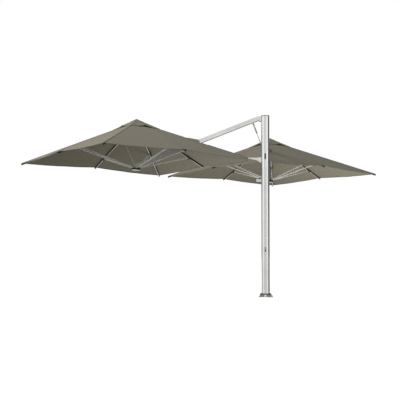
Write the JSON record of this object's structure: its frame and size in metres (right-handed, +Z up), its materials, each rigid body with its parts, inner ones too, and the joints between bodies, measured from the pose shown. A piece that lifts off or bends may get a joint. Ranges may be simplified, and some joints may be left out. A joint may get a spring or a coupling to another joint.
{
  "type": "cantilever duo parasol",
  "caption": "Floor-bolted mast with hinged cantilever arms, each carrying a square rib-framed canopy that folds down against the mast.",
  "frame": {"origin": "centre of the base plate's underside, on the floor, on the mast's axis", "axes": "+Z up the mast; the left umbrella's arm runs along -X and the rear umbrella's along +Y"},
  "size_m": [6.5129, 6.5129, 3.105],
  "materials": {
    "mast_aluminium": "anodised, satin",
    "arm_aluminium": "anodised, satin",
    "rib_aluminium": "anodised, satin",
    "bracket_aluminium": "machined, satin",
    "stainless": "brushed",
    "cast_collar": "textured paint",
    "black_nylon": "moulded",
    "hub_nylon": "moulded",
    "black_rubber": "matte",
    "canopy_cloth": "woven, matte",
    "gas_cylinder_paint": "satin paint"
  },
  "bodies": {
    "mast": {"base_plate": "stainless", "base_collar": "cast_collar", "mast": "mast_aluminium", "mast_cap": "black_nylon", "arm_brackets": "bracket_aluminium", "hinge_pins": "stainless", "gas_brackets": "bracket_aluminium", "tongue_brackets": "bracket_aluminium", "buffer_brackets": "bracket_aluminium", "buffer_pads": "black_rubber"},
    "left_arm": {"left_arm": "arm_aluminium"},
    "left_hub": {"left_hub": "hub_nylon", "left_hub_plate": "bracket_aluminium"},
    "left_crown": {"left_crown": "black_nylon", "left_canopy": "canopy_cloth", "left_vent_cap": "canopy_cloth"},
    "left_gas_rod": {"left_gas_rod": "stainless"},
    "left_gas_cylinder": {"left_gas_cylinder": "gas_cylinder_paint"},
    "left_tongue": {"left_tongue": "bracket_aluminium"},
    "left_corner_rib_1": {"left_corner_rib_1": "rib_aluminium"},
    "left_corner_strut_1": {"left_corner_strut_1": "rib_aluminium"},
    "left_corner_rib_2": {"left_corner_rib_2": "rib_aluminium"},
    "left_corner_strut_2": {"left_corner_strut_2": "rib_aluminium"},
    "left_corner_rib_3": {"left_corner_rib_3": "rib_aluminium"},
    "left_corner_strut_3": {"left_corner_strut_3": "rib_aluminium"},
    "left_corner_rib_4": {"left_corner_rib_4": "rib_aluminium"},
    "left_corner_strut_4": {"left_corner_strut_4": "rib_aluminium"},
    "left_middle_rib_1": {"left_middle_rib_1": "rib_aluminium"},
    "left_middle_strut_1": {"left_middle_strut_1": "rib_aluminium"},
    "left_middle_rib_2": {"left_middle_rib_2": "rib_aluminium"},
    "left_middle_strut_2": {"left_middle_strut_2": "rib_aluminium"},
    "left_middle_rib_3": {"left_middle_rib_3": "rib_aluminium"},
    "left_middle_strut_3": {"left_middle_strut_3": "rib_aluminium"},
    "left_middle_rib_4": {"left_middle_rib_4": "rib_aluminium"},
    "left_middle_strut_4": {"left_middle_strut_4": "rib_aluminium"},
    "rear_arm": {"rear_arm": "arm_aluminium"},
    "rear_hub": {"rear_hub": "hub_nylon", "rear_hub_plate": "bracket_aluminium"},
    "rear_crown": {"rear_crown": "black_nylon", "rear_canopy": "canopy_cloth", "rear_vent_cap": "canopy_cloth"},
    "rear_gas_rod": {"rear_gas_rod": "stainless"},
    "rear_gas_cylinder": {"rear_gas_cylinder": "gas_cylinder_paint"},
    "rear_tongue": {"rear_tongue": "bracket_aluminium"},
    "rear_corner_rib_1": {"rear_corner_rib_1": "rib_aluminium"},
    "rear_corner_strut_1": {"rear_corner_strut_1": "rib_aluminium"},
    "rear_corner_rib_2": {"rear_corner_rib_2": "rib_aluminium"},
    "rear_corner_strut_2": {"rear_corner_strut_2": "rib_aluminium"},
    "rear_corner_rib_3": {"rear_corner_rib_3": "rib_aluminium"},
    "rear_corner_strut_3": {"rear_corner_strut_3": "rib_aluminium"},
    "rear_corner_rib_4": {"rear_corner_rib_4": "rib_aluminium"},
    "rear_corner_strut_4": {"rear_corner_strut_4": "rib_aluminium"},
    "rear_middle_rib_1": {"rear_middle_rib_1": "rib_aluminium"},
    "rear_middle_strut_1": {"rear_middle_strut_1": "rib_aluminium"},
    "rear_middle_rib_2": {"rear_middle_rib_2": "rib_aluminium"},
    "rear_middle_strut_2": {"rear_middle_strut_2": "rib_aluminium"},
    "rear_middle_rib_3": {"rear_middle_rib_3": "rib_aluminium"},
    "rear_middle_strut_3": {"rear_middle_strut_3": "rib_aluminium"},
    "rear_middle_rib_4": {"rear_middle_rib_4": "rib_aluminium"},
    "rear_middle_strut_4": {"rear_middle_strut_4": "rib_aluminium"}
  },
  "joints": [
    {"name": "left_arm_fold", "type": "hinge", "parent": "mast", "child": "left_arm", "pos_m": [-0.116, 0, 3.061], "axis": [0, -1, 0], "range_deg": [0, 64.4]},
    {"name": "left_hub_level", "type": "hinge", "parent": "left_arm", "child": "left_hub", "pos_m": [-2.27032, 0, 2.25124], "axis": [0, -1, 0], "range_deg": [-64.9, 0]},
    {"name": "left_crown_rise", "type": "slide", "parent": "left_hub", "child": "left_crown", "axis": [0, 0, 1], "range_m": [0, 1.53191], "deforming": ["left_canopy", "left_vent_cap"]},
    {"name": "left_corner_rib_1_fold", "type": "hinge", "parent": "left_crown", "child": "left_corner_rib_1", "pos_m": [-2.17532, 0, 2.99678], "axis": [0, 1, 0], "range_deg": [0, 71.03]},
    {"name": "left_corner_strut_1_fold", "type": "hinge", "parent": "left_hub", "child": "left_corner_strut_1", "pos_m": [-2.19632, 0, 2.23324], "axis": [0, -1, 0], "range_deg": [0, 68.47]},
    {"name": "left_corner_rib_2_fold", "type": "hinge", "parent": "left_crown", "child": "left_corner_rib_2", "pos_m": [-2.27032, 0.095, 2.99678], "axis": [-1, 0, 0], "range_deg": [0, 71.03]},
    {"name": "left_corner_strut_2_fold", "type": "hinge", "parent": "left_hub", "child": "left_corner_strut_2", "pos_m": [-2.27032, 0.074, 2.23324], "axis": [1, 0, 0], "range_deg": [0, 68.47]},
    {"name": "left_corner_rib_3_fold", "type": "hinge", "parent": "left_crown", "child": "left_corner_rib_3", "pos_m": [-2.36532, 0, 2.99678], "axis": [0, -1, 0], "range_deg": [0, 71.03]},
    {"name": "left_corner_strut_3_fold", "type": "hinge", "parent": "left_hub", "child": "left_corner_strut_3", "pos_m": [-2.34432, 0, 2.23324], "axis": [0, 1, 0], "range_deg": [0, 68.47]},
    {"name": "left_corner_rib_4_fold", "type": "hinge", "parent": "left_crown", "child": "left_corner_rib_4", "pos_m": [-2.27032, -0.095, 2.99678], "axis": [1, 0, 0], "range_deg": [0, 71.03]},
    {"name": "left_corner_strut_4_fold", "type": "hinge", "parent": "left_hub", "child": "left_corner_strut_4", "pos_m": [-2.27032, -0.074, 2.23324], "axis": [-1, 0, 0], "range_deg": [0, 68.47]},
    {"name": "left_middle_rib_1_fold", "type": "hinge", "parent": "left_crown", "child": "left_middle_rib_1", "pos_m": [-2.20315, 0.06717, 2.98566], "axis": [-0.7071, 0.7071, 0], "range_deg": [0, 65.44]},
    {"name": "left_middle_strut_1_fold", "type": "hinge", "parent": "left_hub", "child": "left_middle_strut_1", "pos_m": [-2.21799, 0.05233, 2.23324], "axis": [0.7071, -0.7071, 0], "range_deg": [0, 74]},
    {"name": "left_middle_rib_2_fold", "type": "hinge", "parent": "left_crown", "child": "left_middle_rib_2", "pos_m": [-2.3375, 0.06717, 2.98566], "axis": [-0.7071, -0.7071, 0], "range_deg": [0, 65.44]},
    {"name": "left_middle_strut_2_fold", "type": "hinge", "parent": "left_hub", "child": "left_middle_strut_2", "pos_m": [-2.32265, 0.05233, 2.23324], "axis": [0.7071, 0.7071, 0], "range_deg": [0, 74]},
    {"name": "left_middle_rib_3_fold", "type": "hinge", "parent": "left_crown", "child": "left_middle_rib_3", "pos_m": [-2.3375, -0.06717, 2.98566], "axis": [0.7071, -0.7071, 0], "range_deg": [0, 65.44]},
    {"name": "left_middle_strut_3_fold", "type": "hinge", "parent": "left_hub", "child": "left_middle_strut_3", "pos_m": [-2.32265, -0.05233, 2.23324], "axis": [-0.7071, 0.7071, 0], "range_deg": [0, 74]},
    {"name": "left_middle_rib_4_fold", "type": "hinge", "parent": "left_crown", "child": "left_middle_rib_4", "pos_m": [-2.20315, -0.06717, 2.98566], "axis": [0.7071, 0.7071, 0], "range_deg": [0, 65.44]},
    {"name": "left_middle_strut_4_fold", "type": "hinge", "parent": "left_hub", "child": "left_middle_strut_4", "pos_m": [-2.21799, -0.05233, 2.23324], "axis": [-0.7071, -0.7071, 0], "range_deg": [0, 74]},
    {"name": "left_gas_rod_swing", "type": "hinge", "parent": "mast", "child": "left_gas_rod", "pos_m": [-0.09, 0, 2.655], "axis": [0, 1, 0], "range_deg": [0, 17.82]},
    {"name": "left_gas_stroke", "type": "slide", "parent": "left_gas_rod", "child": "left_gas_cylinder", "axis": [-0.348, 0, 0.9375], "range_m": [-0.08217, 0]},
    {"name": "left_tongue_fold", "type": "hinge", "parent": "mast", "child": "left_tongue", "pos_m": [-0.12, 0, 2.347], "axis": [0, -1, 0], "range_deg": [0, 86.5]},
    {"name": "rear_arm_fold", "type": "hinge", "parent": "mast", "child": "rear_arm", "pos_m": [0, 0.116, 3.061], "axis": [-1, 0, 0], "range_deg": [0, 64.4]},
    {"name": "rear_hub_level", "type": "hinge", "parent": "rear_arm", "child": "rear_hub", "pos_m": [0, 2.27032, 2.25124], "axis": [-1, 0, 0], "range_deg": [-64.9, 0]},
    {"name": "rear_crown_rise", "type": "slide", "parent": "rear_hub", "child": "rear_crown", "axis": [0, 0, 1], "range_m": [0, 1.53191], "deforming": ["rear_canopy", "rear_vent_cap"]},
    {"name": "rear_corner_rib_1_fold", "type": "hinge", "parent": "rear_crown", "child": "rear_corner_rib_1", "pos_m": [0, 2.17532, 2.99678], "axis": [1, 0, 0], "range_deg": [0, 71.03]},
    {"name": "rear_corner_strut_1_fold", "type": "hinge", "parent": "rear_hub", "child": "rear_corner_strut_1", "pos_m": [0, 2.19632, 2.23324], "axis": [-1, 0, 0], "range_deg": [0, 68.47]},
    {"name": "rear_corner_rib_2_fold", "type": "hinge", "parent": "rear_crown", "child": "rear_corner_rib_2", "pos_m": [0.095, 2.27032, 2.99678], "axis": [0, 1, 0], "range_deg": [0, 71.03]},
    {"name": "rear_corner_strut_2_fold", "type": "hinge", "parent": "rear_hub", "child": "rear_corner_strut_2", "pos_m": [0.074, 2.27032, 2.23324], "axis": [0, -1, 0], "range_deg": [0, 68.47]},
    {"name": "rear_corner_rib_3_fold", "type": "hinge", "parent": "rear_crown", "child": "rear_corner_rib_3", "pos_m": [0, 2.36532, 2.99678], "axis": [-1, 0, 0], "range_deg": [0, 71.03]},
    {"name": "rear_corner_strut_3_fold", "type": "hinge", "parent": "rear_hub", "child": "rear_corner_strut_3", "pos_m": [0, 2.34432, 2.23324], "axis": [1, 0, 0], "range_deg": [0, 68.47]},
    {"name": "rear_corner_rib_4_fold", "type": "hinge", "parent": "rear_crown", "child": "rear_corner_rib_4", "pos_m": [-0.095, 2.27032, 2.99678], "axis": [0, -1, 0], "range_deg": [0, 71.03]},
    {"name": "rear_corner_strut_4_fold", "type": "hinge", "parent": "rear_hub", "child": "rear_corner_strut_4", "pos_m": [-0.074, 2.27032, 2.23324], "axis": [0, 1, 0], "range_deg": [0, 68.47]},
    {"name": "rear_middle_rib_1_fold", "type": "hinge", "parent": "rear_crown", "child": "rear_middle_rib_1", "pos_m": [0.06717, 2.20315, 2.98566], "axis": [0.7071, 0.7071, 0], "range_deg": [0, 65.44]},
    {"name": "rear_middle_strut_1_fold", "type": "hinge", "parent": "rear_hub", "child": "rear_middle_strut_1", "pos_m": [0.05233, 2.21799, 2.23324], "axis": [-0.7071, -0.7071, 0], "range_deg": [0, 74]},
    {"name": "rear_middle_rib_2_fold", "type": "hinge", "parent": "rear_crown", "child": "rear_middle_rib_2", "pos_m": [0.06717, 2.3375, 2.98566], "axis": [-0.7071, 0.7071, 0], "range_deg": [0, 65.44]},
    {"name": "rear_middle_strut_2_fold", "type": "hinge", "parent": "rear_hub", "child": "rear_middle_strut_2", "pos_m": [0.05233, 2.32265, 2.23324], "axis": [0.7071, -0.7071, 0], "range_deg": [0, 74]},
    {"name": "rear_middle_rib_3_fold", "type": "hinge", "parent": "rear_crown", "child": "rear_middle_rib_3", "pos_m": [-0.06717, 2.3375, 2.98566], "axis": [-0.7071, -0.7071, 0], "range_deg": [0, 65.44]},
    {"name": "rear_middle_strut_3_fold", "type": "hinge", "parent": "rear_hub", "child": "rear_middle_strut_3", "pos_m": [-0.05233, 2.32265, 2.23324], "axis": [0.7071, 0.7071, 0], "range_deg": [0, 74]},
    {"name": "rear_middle_rib_4_fold", "type": "hinge", "parent": "rear_crown", "child": "rear_middle_rib_4", "pos_m": [-0.06717, 2.20315, 2.98566], "axis": [0.7071, -0.7071, 0], "range_deg": [0, 65.44]},
    {"name": "rear_middle_strut_4_fold", "type": "hinge", "parent": "rear_hub", "child": "rear_middle_strut_4", "pos_m": [-0.05233, 2.21799, 2.23324], "axis": [-0.7071, 0.7071, 0], "range_deg": [0, 74]},
    {"name": "rear_gas_rod_swing", "type": "hinge", "parent": "mast", "child": "rear_gas_rod", "pos_m": [0, 0.09, 2.655], "axis": [1, 0, 0], "range_deg": [0, 17.82]},
    {"name": "rear_gas_stroke", "type": "slide", "parent": "rear_gas_rod", "child": "rear_gas_cylinder", "axis": [0, 0.348, 0.9375], "range_m": [-0.08217, 0]},
    {"name": "rear_tongue_fold", "type": "hinge", "parent": "mast", "child": "rear_tongue", "pos_m": [0, 0.12, 2.347], "axis": [-1, 0, 0], "range_deg": [0, 86.5]}
  ],
  "couplings": [
    {"joint": "left_hub_level", "follows": "left_arm_fold", "ratio": -1},
    {"joint": "left_crown_rise", "follows": "left_arm_fold", "m_per_rad": 1.3594},
    {"joint": "left_corner_rib_1_fold", "follows": "left_arm_fold", "ratio": 1.0951},
    {"joint": "left_corner_strut_1_fold", "follows": "left_arm_fold", "ratio": 1.0554},
    {"joint": "left_corner_rib_2_fold", "follows": "left_arm_fold", "ratio": 1.0951},
    {"joint": "left_corner_strut_2_fold", "follows": "left_arm_fold", "ratio": 1.0554},
    {"joint": "left_corner_rib_3_fold", "follows": "left_arm_fold", "ratio": 1.0951},
    {"joint": "left_corner_strut_3_fold", "follows": "left_arm_fold", "ratio": 1.0554},
    {"joint": "left_corner_rib_4_fold", "follows": "left_arm_fold", "ratio": 1.0951},
    {"joint": "left_corner_strut_4_fold", "follows": "left_arm_fold", "ratio": 1.0554},
    {"joint": "left_middle_rib_1_fold", "follows": "left_arm_fold", "ratio": 1.0084},
    {"joint": "left_middle_strut_1_fold", "follows": "left_arm_fold", "ratio": 1.1412},
    {"joint": "left_middle_rib_2_fold", "follows": "left_arm_fold", "ratio": 1.0084},
    {"joint": "left_middle_strut_2_fold", "follows": "left_arm_fold", "ratio": 1.1412},
    {"joint": "left_middle_rib_3_fold", "follows": "left_arm_fold", "ratio": 1.0084},
    {"joint": "left_middle_strut_3_fold", "follows": "left_arm_fold", "ratio": 1.1412},
    {"joint": "left_middle_rib_4_fold", "follows": "left_arm_fold", "ratio": 1.0084},
    {"joint": "left_middle_strut_4_fold", "follows": "left_arm_fold", "ratio": 1.1412},
    {"joint": "left_gas_rod_swing", "follows": "left_arm_fold", "ratio": 0.26901},
    {"joint": "left_gas_stroke", "follows": "left_arm_fold", "m_per_rad": -0.071327},
    {"joint": "left_tongue_fold", "follows": "left_arm_fold", "ratio": 1.3354},
    {"joint": "rear_hub_level", "follows": "rear_arm_fold", "ratio": -1},
    {"joint": "rear_crown_rise", "follows": "rear_arm_fold", "m_per_rad": 1.3594},
    {"joint": "rear_corner_rib_1_fold", "follows": "rear_arm_fold", "ratio": 1.0951},
    {"joint": "rear_corner_strut_1_fold", "follows": "rear_arm_fold", "ratio": 1.0554},
    {"joint": "rear_corner_rib_2_fold", "follows": "rear_arm_fold", "ratio": 1.0951},
    {"joint": "rear_corner_strut_2_fold", "follows": "rear_arm_fold", "ratio": 1.0554},
    {"joint": "rear_corner_rib_3_fold", "follows": "rear_arm_fold", "ratio": 1.0951},
    {"joint": "rear_corner_strut_3_fold", "follows": "rear_arm_fold", "ratio": 1.0554},
    {"joint": "rear_corner_rib_4_fold", "follows": "rear_arm_fold", "ratio": 1.0951},
    {"joint": "rear_corner_strut_4_fold", "follows": "rear_arm_fold", "ratio": 1.0554},
    {"joint": "rear_middle_rib_1_fold", "follows": "rear_arm_fold", "ratio": 1.0084},
    {"joint": "rear_middle_strut_1_fold", "follows": "rear_arm_fold", "ratio": 1.1412},
    {"joint": "rear_middle_rib_2_fold", "follows": "rear_arm_fold", "ratio": 1.0084},
    {"joint": "rear_middle_strut_2_fold", "follows": "rear_arm_fold", "ratio": 1.1412},
    {"joint": "rear_middle_rib_3_fold", "follows": "rear_arm_fold", "ratio": 1.0084},
    {"joint": "rear_middle_strut_3_fold", "follows": "rear_arm_fold", "ratio": 1.1412},
    {"joint": "rear_middle_rib_4_fold", "follows": "rear_arm_fold", "ratio": 1.0084},
    {"joint": "rear_middle_strut_4_fold", "follows": "rear_arm_fold", "ratio": 1.1412},
    {"joint": "rear_gas_rod_swing", "follows": "rear_arm_fold", "ratio": 0.26901},
    {"joint": "rear_gas_stroke", "follows": "rear_arm_fold", "m_per_rad": -0.071327},
    {"joint": "rear_tongue_fold", "follows": "rear_arm_fold", "ratio": 1.3354}
  ]
}
